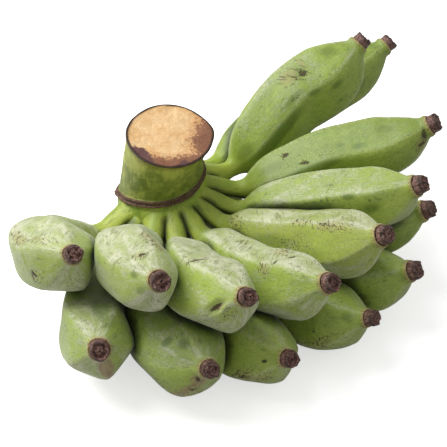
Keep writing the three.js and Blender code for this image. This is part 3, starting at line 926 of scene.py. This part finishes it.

# Marks on the peel: share of the length, angle round it in degrees, half length and half width in
# millimetres, turn from the length in degrees, and strength. A dent's strength is its depth in
# millimetres. A scar is dark, a scab pale and crusted, a scuff scratched, and the deep green kind
# is bruised skin, though a few long bands of it are painted shade.
MARKS = {
    "upper_1": {
        "scar": [(0.84, 189, 3.0, 1.2, 60, 1.0), (0.82, 194, 1.2, 3.5, 20, 0.8),
            (0.78, 131, 5, 0.9, 10, 0.6)],
        "scuff": [(0.83, 193, 7, 6, 0, 0.6), (0.71, 135, 14, 3.5, 0, 0.9),
            (0.86, 128, 10, 3, 0, 0.8)],
    },
    "upper_2": {
        "scuff": [(0.74, 52, 12, 6, 20, 1.0), (0.83, 50, 8, 5, 20, 0.9), (0.89, 96, 4, 5, 0, 0.8)],
        "scar": [(0.895, 93, 1.4, 2.6, 20, 0.9)],
        "bruise_and_shade": [(0.94, 147, 2.5, 2.5, 0, 0.8), (0.95, 198, 3, 3, 0, 0.6)],
    },
    "upper_3": {
        "scar": [(0.705, 96, 1.1, 8, 12, 0.8), (0.912, 182, 3.4, 1.2, -20, 1.1)],
        "scuff": [(0.70, 96, 5, 8, 0, 0.6), (0.94, 216, 5, 5, 0, 0.5)],
        "dent": [(0.917, 183, 5, 3, -20, 3.4)],
        "scab": [(0.922, 183, 4, 2.2, -20, 0.8)],
    },
    "upper_4": {
        "scuff": [(0.73, 68, 9, 6, 30, 0.9), (0.75, 123, 5, 5, 0, 0.8), (0.50, 82, 12, 5, 20, 0.5)],
        "scar": [(0.825, 80, 1.3, 3.5, 30, 0.9), (0.80, 111, 1.2, 2.5, 0, 0.8)],
    },
    "upper_5": {
        "scuff": [(0.83, 118, 14, 3.5, 0, 1.1), (0.66, 112, 12, 3, 0, 0.7),
            (0.29, 125, 8, 7, 0, 0.6)],
        "scar": [(0.80, 116, 6, 0.9, 5, 0.7), (0.62, 155, 18, 7, 0, 0.35)],
        "bruise_and_shade": [(0.50, 150, 22, 6, 0, 0.7), (0.72, 170, 16, 5, 0, 0.6)],
    },
    "upper_6": {
        "bruise_and_shade": [(0.66, 108, 4, 2, 0, 0.5), (0.76, 137, 6, 2.5, 0, 0.9),
            (0.60, 148, 14, 4, 0, 0.9), (0.84, 165, 7, 4, 0, 0.8)],
        "scar": [(0.66, 110, 2.5, 0.9, 0, 0.6), (0.62, 139, 26, 2, 0, 0.35)],
    },
    "upper_7": {
        "scar": [(0.425, 93, 2.2, 1.6, 0, 1.0), (0.41, 97, 3.0, 0.5, 70, 0.7),
            (0.43, 90, 3.5, 0.5, 20, 0.7), (0.488, 132, 4, 1.3, 15, 0.9),
            (0.975, 172, 2, 5, 20, 0.7), (0.95, 196, 3, 1.2, 30, 0.9), (0.5, 120, 26, 7, 0, 0.2)],
        # The long band at 150 degrees is painted shade along the lower side of a ridge.
        "bruise_and_shade": [(0.50, 150, 24, 4, 0, 1.1), (0.64, 120, 4, 2, 15, 0.8),
            (0.71, 130, 5, 2.5, -10, 0.85), (0.85, 100, 10, 4, 0, 0.6),
            (0.35, 110, 12, 5, 0, 0.65)],
        "scuff": [(0.95, 192, 5, 4, 0, 1.0)],
    },
    "upper_8": {
        "scar": [(0.706, 106, 3.2, 2.4, 30, 1.0), (0.72, 103, 8, 0.6, 55, 0.7),
            (0.68, 112, 6, 0.6, 40, 0.7), (0.66, 97, 5, 0.5, 60, 0.6),
            (0.55, 128, 24, 7, 0, 0.22)],
        "scuff": [(0.65, 95, 7, 6, 0, 1.0), (0.73, 88, 6, 2, 70, 0.9)],
        # The long band at 152 degrees is painted shade along the lower side of a ridge.
        "bruise_and_shade": [(0.69, 100, 8, 6, 0, 0.6), (0.89, 94, 7, 6, 0, 0.7),
            (0.70, 146, 7, 2.5, 10, 0.85), (0.81, 159, 6, 3, 0, 0.8),
            (0.45, 152, 26, 5, 0, 1.2), (0.30, 120, 9, 5, 0, 0.65), (0.60, 130, 12, 3, 0, 0.75)],
    },
    "lower_1": {
        "scab": [(0.94, 282, 7, 5, 0, 1.2), (0.86, 284, 6, 3, 0, 1.0)],
        # The two at 80 and 62 degrees are painted shade on the shaded side of the top.
        "bruise_and_shade": [(0.95, 30, 3, 3, 0, 0.5), (0.80, 80, 20, 7, 0, 0.9), (0.92, 62, 7, 5, 0, 0.7)],
        "scuff": [(0.82, 150, 8, 3, 0, 0.4)],
    },
    "lower_2": {
        "bruise_and_shade": [(0.863, 126, 3.5, 4.5, 20, 1.0), (0.92, 111, 3, 4, 0, 0.8)],
        "scab": [(0.965, 232, 5, 6, 0, 0.9), (0.88, 224, 14, 4, 0, 0.8)],
        "scuff": [(0.90, 240, 8, 6, 0, 0.9), (0.83, 198, 8, 5, 0, 0.5)],
        "scar": [(0.97, 222, 1.2, 2.5, 20, 0.8), (0.93, 236, 3, 1, 60, 0.7)],
    },
    "lower_3": {
        "scar": [(0.95, 171, 1.4, 1.2, 0, 0.8), (0.87, 197, 5, 1.1, 10, 0.7)],
        "scuff": [(0.87, 195, 9, 5, 0, 0.8), (0.92, 213, 6, 6, 0, 0.7)],
        "scab": [(0.86, 220, 14, 2.5, 0, 0.7)],
    },
    "lower_4": {
        "scuff": [(0.86, 188, 12, 5, 0, 0.7), (0.76, 201, 9, 5, 0, 0.6)],
        "scar": [(0.825, 168, 1.2, 1.2, 0, 0.8)],
        "bruise_and_shade": [(0.95, 140, 3, 5, 0, 0.6)],
    },
}


def fused(distance):
    """How far a skin swells towards another that it grows from."""
    return FILLET / 4 * np.clip(1 - distance / FILLET, 0, 1) ** 2


def marked(finger, kind, share, angle, radius):
    """How strong a kind of mark is at each place on a finger."""
    strongest = np.zeros_like(share)
    marks = MARKS.get(finger.name, {}).get(kind, ())
    for at_share, at_angle, half_length, half_width, turn, strength in marks:
        along = (share - at_share) * finger.length
        around = wrapped(angle - math.radians(at_angle)) * radius
        cosine, sine = math.cos(math.radians(turn)), math.sin(math.radians(turn))
        reach = np.hypot((along * cosine + around * sine) / half_length,
                         (around * cosine - along * sine) / half_width)
        strongest = np.maximum(strongest, strength * smooth(reach, *MARK_EDGE))
    return strongest


def wax_kept(finger, upward, grain, touch_wear_and_shade):
    """How much wax is left: most on top, less on the flanks and towards a neighbour, and some on the
    under side. On top and below it is partly painted light.
    """
    sky = smooth(upward + uneven(grain, SKY_EDGE, finger.seed), *SKY_SIDE)
    under = smooth(upward + uneven(grain, UNDER_EDGE, finger.seed), *UNDER_SIDE)
    rubbed = finger.bloom * mix(finger.sides, TOP_WAX_AND_LIGHT, sky) * (1 - TOUCH_WEAR * touch_wear_and_shade)
    return rubbed + (UNDER_WAX_AND_BOUNCE + UNDER_SHARE * finger.bloom) * under * (1 - touch_wear_and_shade)


def make_finger(finger, others):
    """The skin of a finger, from inside the crown to the lip round its flower end."""
    steps = np.linspace(0, 1, FINGER_RINGS)
    crowded = steps * (1 + RING_CROWDING - RING_CROWDING * steps)
    lip = 1 + np.array(LIP)[:, 0] / finger.length
    turn = np.arange(FINGER_AROUND) * 2 * math.pi / FINGER_AROUND
    share, angle = np.meshgrid(np.concatenate([crowded, lip]), turn, indexing="ij")
    kept = np.clip(share, 0, 1)
    give, touch_wear_and_shade = (refined(net, kept, angle) for net in finger.pressed(others))
    touch_wear_and_shade *= smooth(kept, *CROWN_CLEAR)
    radius = finger.free(kept, angle) - give
    to_end = (1 - share) * finger.length

    half = finger.girth / 2
    grain = np.stack([half * np.cos(angle), half * np.sin(angle), share * finger.length], axis=-1)
    grain += [0, 0, GRAIN_APART * finger.seed]
    belly = smooth(kept, finger.neck, finger.neck + BELLY_ONSET) * smooth(to_end, 0, TIP_CALM)
    crest, rim = (
        sum(hump(wrapped(angle - ridge) * radius, 0, width) for ridge in finger.ridges)
        for width in (CREST_WIDTH, RIM_WIDTH)
    )
    radius += CREST_RISE * crest * belly
    radius += belly * uneven(grain, PEEL_UNEVEN, finger.seed)
    radius -= marked(finger, "dent", share, angle, radius)
    radius += sum(rise * hump(to_end, middle, width) for rise, middle, width in TIP_COLLAR)
    points = finger.point(share, angle, radius)
    radius += fused(outside_stalk(points)) * (1 - smooth(kept, *CROWN_SWELL_ENDS))
    end_radius = LIP[0][1]
    last = mix(radius[FINGER_RINGS - 1], end_radius * finger.stub, LIP_ROUNDNESS)
    for ring, (_, lip_radius) in enumerate(LIP, start=FINGER_RINGS):
        radius[ring] = lip_radius / end_radius * last
    points = finger.point(share, angle, radius)
    points[..., 2] = np.maximum(points[..., 2], 0)

    upward = mix(finger.skyward(kept, angle), facing(points)[..., 2], TRUE_FACING)
    attributes = {
        "grain": grain,
        "bloom": wax_kept(finger, upward, grain, touch_wear_and_shade) + RIDGE_WAX * rim * belly,
        # Painted light: the green is lighter on the flanks and under side, as fill light.
        "deep": finger.deep * mix(DEEP_BELOW, DEEP_ON_TOP, smooth(upward, 0.1, 0.8)),
        "ripe": np.full_like(share, finger.ripe),
        "touch_wear_and_shade": touch_wear_and_shade,
        "stemward": 1 - smooth(kept, *(finger.neck + np.array(STEM_FADES))),
        "tipward": np.exp(-np.maximum(to_end, 0) / TIP_DRY),
        "crest": crest * belly,
        **{kind: marked(finger, kind, share, angle, radius) for kind in MARK_KINDS},
    }
    piece = mesh_of_rings(f"banana_{finger.name}", points, attributes, [PEEL])
    join_hand(piece, f"finger_{finger.name}")


# ---- Flower ends ----

STUB_RINGS = 44
STUB_AROUND = 64
# Distance past the peel's end and share of the radius, from inside the peel to the middle.
STUB_PROFILE = catmull_rom([
    (-1.2, 0.88), (0.4, 0.95), (1.6, 1.04), (3.2, 1.02), (4.8, 1.0),
    (5.9, 0.95), (6.5, 0.84), (6.3, 0.72), (5.6, 0.60), (5.5, 0.50),
    (5.9, 0.38), (6.3, 0.28), (6.4, 0.18), (6.0, 0.10), (5.4, 0.04),
], steps=8)
STUB_CORNERS = 0.03  # how far its side follows the finger's ridges, as a share of the radius
# Height, length and seed of each layer of unevenness: a share of the radius on its side, and
# millimetres on its face.
STUB_RAGGED = ((0.09, 4, 0), (0.06, 1.6, 3))
STUB_FACE_RAGGED = ((1.1, 2.6, 5), (0.5, 1.0, 6))
STUB_GRAIN_APART = 40


def make_flower_end(finger):
    """The dry remnant of the flower, standing in the curled lip of the peel."""
    walk = np.linspace(0, len(STUB_PROFILE) - 1, STUB_RINGS)
    steps = np.arange(len(STUB_PROFILE))
    past, share = (np.interp(walk, steps, STUB_PROFILE[:, i]) for i in (0, 1))
    turn = np.arange(STUB_AROUND) * 2 * math.pi / STUB_AROUND
    past, angle = np.meshgrid(past, turn, indexing="ij")
    share = np.repeat(share[:, None], STUB_AROUND, axis=1)
    reach = share * STUB_RADIUS
    grain = np.stack([reach * np.cos(angle), reach * np.sin(angle), past], axis=-1)
    grain += [0, 0, STUB_GRAIN_APART * finger.seed]
    ragged = uneven(grain, STUB_RAGGED, finger.seed)
    corners = STUB_CORNERS * np.cos(FACES * (angle - finger.ridges[0]))
    radius = STUB_RADIUS * finger.stub * share * (1 + ragged + corners)
    face = smooth(past, 3.5, 5.5)
    past = past + face * uneven(grain, STUB_FACE_RAGGED, finger.seed)
    points = finger.point(1 + past / finger.length, angle, radius)
    attributes = {"grain": grain, "spread": share, "face": face}
    piece = mesh_of_rings(f"flower_stub_{finger.name}", points, attributes, [FLOWER_END])
    join_hand(piece, f"flower_end_{finger.name}")


# ---- The stalk ----

STALK_AROUND = 200
CUT_RINGS = 40
FOOT_RINGS, SCAR_RINGS, TOP_RINGS = 50, 50, 56  # below, round and above the scar
SCAR_ZONE = (-7.0, 9.0)  # heights from the scar's middle between which the rings are close
GRAIN_RADIUS = 28.0  # radius at which the pattern of unevenness is laid round the stalk
# Height, length and seed of each layer of unevenness.
SKIN_UNEVEN = ((0.5, 16, 7), (0.15, 5, 8))
CUT_UNEVEN = ((0.5, 6, 9), (0.25, 2, 10))
CUT_DISH = 0.8  # how far the cut has sunk half way in from its rim
LOWER_LIP = (-1.4, 1.3, 2.2)  # height above the middle of the scar, half width, rise
UPPER_LIP = (1.8, 0.9, 1.5)
LIP_UNEVEN = ((0.25, 12, 5),)
LIP_FRAY = 0.18  # how far the lips are frayed
LIP_FRAY_GRAIN = (0.9, 0.9, 0.1)  # humps for each millimetre round and along the stalk
# Places round the stalk: compass angle, half width, rise or share worn off.
LIP_POINT = (-178.0, 11.0, 1.0)  # where the scar sticks out
LIP_WORN = (135.0, 38.0, 0.9)  # where the scar is nearly smooth
CUT_POINT = (22.0, 17.0, 1.5)  # where the top is drawn out
# The rim of the cut: rise or fall, and distances from the top between which it comes.
RIM_FLARE = (0.9, 3.0, 0.4)
RIM_ROUNDED = (-0.5, 0.6, 0.0)
CROWN_ENDS = (-7.0, -3.0)  # heights above the scar between which the stems' swelling dies out
FAR_FROM_STEM = 50.0
# Stains on the cut: compass angle, half width, how far in from the rim in millimetres.
PURPLE_STAINS = ((-128.0, 23.0, 13.0), (-66.0, 12.0, 7.0))
RUST_STAINS = ((2.0, 52.0, 20.0), (-78.0, 60.0, 14.0))
NOTCH = (176.0, 4.0, 79.0, 4.0)  # a brown nick: compass angle, half width, height, half height


def spot(angle, place):
    """The rise that a place round the stalk gives at a compass angle."""
    middle, width, rise = place
    return rise * away(angle, middle, width)


def stalk_skin(height, angle):
    """The stalk's radius with the lips of its scar, its drawn-out rim and its uneven skin."""
    around = compass(angle, GRAIN_RADIUS, height)
    from_scar, from_top = height - SCAR_HEIGHT, STALK_HEIGHT - height
    sticking = 1 + uneven(around, LIP_UNEVEN)
    sticking += spot(angle, LIP_POINT) / LOWER_LIP[2] - spot(angle, LIP_WORN)
    frayed = 1 + LIP_FRAY * rough(around * LIP_FRAY_GRAIN, 6)
    lips = sum(rise * hump(from_scar, middle, width) for middle, width, rise in (LOWER_LIP, UPPER_LIP))
    drawn_out = spot(angle, CUT_POINT) * smooth(from_scar, 7, STALK_HEIGHT - SCAR_HEIGHT)
    rim = sum(rise * smooth(from_top, *reach) for rise, *reach in (RIM_FLARE, RIM_ROUNDED))
    smooth_radius = stalk_radius(height, angle)
    return smooth_radius + lips * sticking * frayed + drawn_out + rim + uneven(around, SKIN_UNEVEN)


def make_stalk(fingers):
    """The cut stalk with its crown and scar, skinned down to the flat foot."""
    scar_from, scar_to = SCAR_HEIGHT + SCAR_ZONE[0], SCAR_HEIGHT + SCAR_ZONE[1]
    heights = np.concatenate([
        np.linspace(0, scar_from, FOOT_RINGS, endpoint=False),
        np.linspace(scar_from, scar_to, SCAR_RINGS, endpoint=False),
        np.linspace(scar_to, STALK_HEIGHT, TOP_RINGS),
    ])
    inward = np.linspace(1, 0.02, CUT_RINGS)[1:]
    foot = inward[::-1]
    height = np.concatenate([np.zeros(len(foot)), heights, np.full(len(inward), STALK_HEIGHT)])
    spread = np.concatenate([foot, np.ones(len(heights)), inward])
    height, angle = np.meshgrid(height, np.arange(STALK_AROUND) * 360 / STALK_AROUND, indexing="ij")
    spread = np.repeat(spread[:, None], STALK_AROUND, axis=1)
    radius = stalk_skin(height, angle)
    from_scar, from_top = height - SCAR_HEIGHT, STALK_HEIGHT - height

    tilt = np.interp(height, STALK_PROFILE[:, 0], STALK_PROFILE[:, 3])
    climb = tilt * scar_climb(angle)
    top_cut = (height >= STALK_HEIGHT) & (spread < 1)
    share = height / STALK_HEIGHT

    def placed(radius, climb):
        local = compass(angle, radius * spread, climb)
        return leaning(local, share) + STALK_FOOT + share[..., None] * STALK_AXIS

    flat = placed(radius, climb)
    crown = (from_scar < SCAR_ZONE[1]) & (spread == 1)
    to_stem = np.full_like(height, FAR_FROM_STEM)
    for finger in fingers:
        to_stem[crown] = np.minimum(to_stem[crown], finger.outside(flat[crown]))
    radius += fused(to_stem) * (1 - smooth(from_scar, *CROWN_ENDS))
    grain = compass(angle, radius * spread, height)
    relief = uneven(grain, CUT_UNEVEN) - CUT_DISH * 4 * (1 - spread) * spread
    climb = climb + np.where(top_cut, relief * smooth(1 - spread, 0, 0.06), 0)
    points = placed(radius, climb)
    points[..., 2] = np.maximum(points[..., 2], 0)

    from_rim = (1 - spread) * radius

    def darkened(stains):
        """Stains that spread in from the rim of the cut."""
        return np.maximum(*(
            away(angle, middle, width) * np.clip(1.2 - from_rim / depth, 0, 1)
            for middle, width, depth in stains
        ))

    lower_band = hump(from_scar, -1.2, mix(2.0, 1.3, away(angle, -15, 50)))
    attributes = {
        "grain": grain,
        "scar": np.maximum(lower_band, hump(from_scar, 1.7, 1.4)),
        "low": 1 - smooth(from_scar, -6, -3),
        # Painted shade in the grooves between the stems, just under the scar.
        "crevice_shade": smooth(to_stem, 0.5, 3) * smooth(to_stem, 9, 5) * (1 - smooth(from_scar, -13, -6)),
        "rim": np.where(spread < 1, smooth(from_rim, 1.9, 0.8), smooth(from_top, 1.1, 0.3)),
        "under_rim": smooth(from_top, 9, 0.5),
        # Painted shade: darker lower down towards the scar and on the side away from the window.
        "low_and_side_shade": 0.2 + 0.4 * smooth(from_top, 4, 32) + 0.35 * away(angle, -30, 45),
        "notch": away(angle, *NOTCH[:2]) * hump(height, *NOTCH[2:]),
        "purpled": darkened(PURPLE_STAINS),
        "browned": darkened(RUST_STAINS),
    }
    rows = np.arange(len(spread) - 1)
    is_cut = (rows < len(foot)) | (rows >= len(foot) + len(heights) - 1)
    piece = mesh_of_rings("cut_stalk", points, attributes, [STALK, FLESH], is_cut.astype(int))
    join_hand(piece, "stalk")


# ---- Room, light and camera ----

FLOOR_DROP = 0.3  # millimetres below the hand
FLOOR_HALF = 3.0  # metres from its middle to its edge
FLOOR_GLOW = 0.6  # lifts the floor to white, as the camera sees it
TARGET = Vector((-0.0052, 0.0005, 0.0306))
CAMERA_DISTANCE = 0.760  # metres
CAMERA_ELEVATION = 40.0
LENS = 90.2  # millimetres, on a sensor 36 wide
ROOM_BRIGHTNESS = 0.42
WINDOW_PLACE = Vector((-0.6, 0.2, 1.0))
WINDOW_SIZE = 1.0
WINDOW_POWER = 15.8


def make_floor():
    """A white board under the hand."""
    mesh = bpy.data.meshes.new("pale_floor")
    corners = [(x * FLOOR_HALF, y * FLOOR_HALF, -FLOOR_DROP * MM)
               for x, y in ((-1, -1), (1, -1), (1, 1), (-1, 1))]
    mesh.from_pydata(corners, [], [(0, 1, 2, 3)])
    material, board, shader = finish("white_board", specular=0.0)
    seen = board.node("LightPath").outputs["Is Camera Ray"]
    links = board.tree.links
    links.new(board.colour(seen, (0.55, 0.55, 0.54, 1), (0.9, 0.9, 0.9, 1)), shader.inputs["Base Color"])
    links.new(board.colour(seen, (0, 0, 0, 1), (1, 1, 1, 1)), shader.inputs["Emission Color"])
    shader.inputs["Emission Strength"].default_value = FLOOR_GLOW
    shader.inputs["Roughness"].default_value = 0.8
    mesh.materials.append(material)
    floor = bpy.data.objects.new("pale_floor", mesh)
    bpy.context.scene.collection.objects.link(floor)


def put(name, data, place):
    """A lamp or camera in the scene, turned to face the hand."""
    thing = bpy.data.objects.new(name, data)
    bpy.context.scene.collection.objects.link(thing)
    thing.location = place
    thing.rotation_euler = (TARGET - place).to_track_quat("-Z", "Y").to_euler()
    return thing


def make_room():
    """An even white room, a soft window up on the left, and the camera."""
    scene = bpy.context.scene
    world = bpy.data.worlds.new("soft_white_room")
    world.use_nodes = True
    background = world.node_tree.nodes["Background"]
    background.inputs["Color"].default_value = (1, 1, 1, 1)
    background.inputs["Strength"].default_value = ROOM_BRIGHTNESS
    scene.world = world
    scene.view_settings.view_transform = "Standard"
    window = bpy.data.lights.new("window", "AREA")
    window.shape = "DISK"
    window.size = WINDOW_SIZE
    window.energy = WINDOW_POWER
    put("window", window, WINDOW_PLACE)
    camera = bpy.data.cameras.new("camera")
    camera.lens = LENS
    camera.sensor_width = 36
    height = math.radians(CAMERA_ELEVATION)
    away_from = Vector((0, -math.cos(height), math.sin(height))) * CAMERA_DISTANCE
    scene.camera = put("camera", camera, TARGET + away_from)


make_room()
make_floor()
fingers = [
    Finger(row, number, shape)
    for row, shapes in HAND.items()
    for number, shape in enumerate(shapes, start=1)
]
make_stalk(fingers)
for finger in fingers:
    make_finger(finger, fingers)
    make_flower_end(finger)
